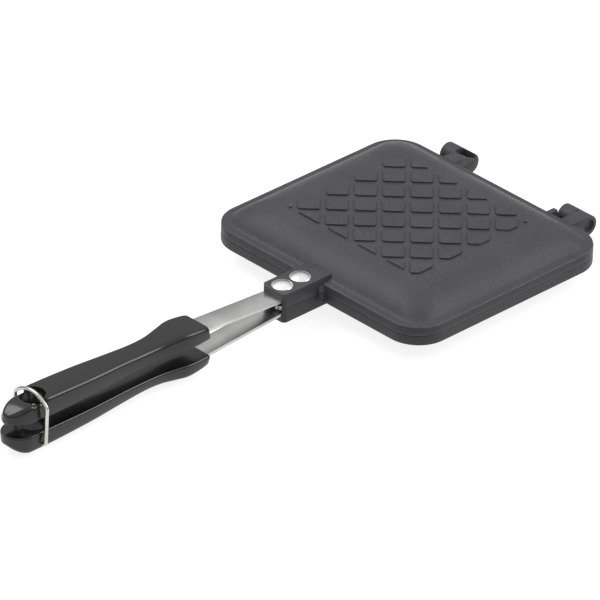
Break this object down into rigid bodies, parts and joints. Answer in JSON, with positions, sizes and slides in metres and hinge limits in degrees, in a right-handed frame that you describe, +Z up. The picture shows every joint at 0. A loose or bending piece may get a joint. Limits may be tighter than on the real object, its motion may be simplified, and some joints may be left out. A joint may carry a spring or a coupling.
{
  "type": "pie iron",
  "caption": "Hinged hot-sandwich iron: square cast pans with a raised diamond lattice, riveted flat straps, moulded grips and a swinging wire bail that latches them shut.",
  "frame": {"origin": "middle of the lower pan's lattice, on the face that the closed iron rests on", "axes": "+Z up, +Y from the grips toward the hinge, +X to the right with the hinge at the back"},
  "size_m": [0.15, 0.3567, 0.0328],
  "materials": {
    "cast_pan": "dark sand-textured non-stick coating, satin",
    "hinge_pin": "dark oiled steel",
    "strap": "satin rolled stainless",
    "rivet": "bright polished",
    "grip": "glossy moulded phenolic",
    "wire": "bright drawn wire, slightly warm"
  },
  "bodies": {
    "lower": {"lower_pan": "cast_pan", "right_hinge_pin": "hinge_pin", "left_hinge_pin": "hinge_pin", "lower_strap": "strap", "lower_front_rivet": "rivet", "lower_rear_rivet": "rivet", "lower_grip": "grip"},
    "upper": {"upper_pan": "cast_pan", "upper_strap": "strap", "upper_front_rivet": "rivet", "upper_rear_rivet": "rivet", "upper_grip": "grip"},
    "bail": {"bail": "wire"}
  },
  "joints": [
    {"name": "pan_hinge", "type": "hinge", "parent": "lower", "child": "upper", "pos_m": [0, 0.0783, 0.0158], "axis": [-1, 0, 0], "range_deg": [0, 180]},
    {"name": "bail_swing", "type": "hinge", "parent": "lower", "child": "bail", "pos_m": [0, -0.2542, 0.0058], "axis": [1, 0, 0], "range_deg": [0, 170]}
  ]
}
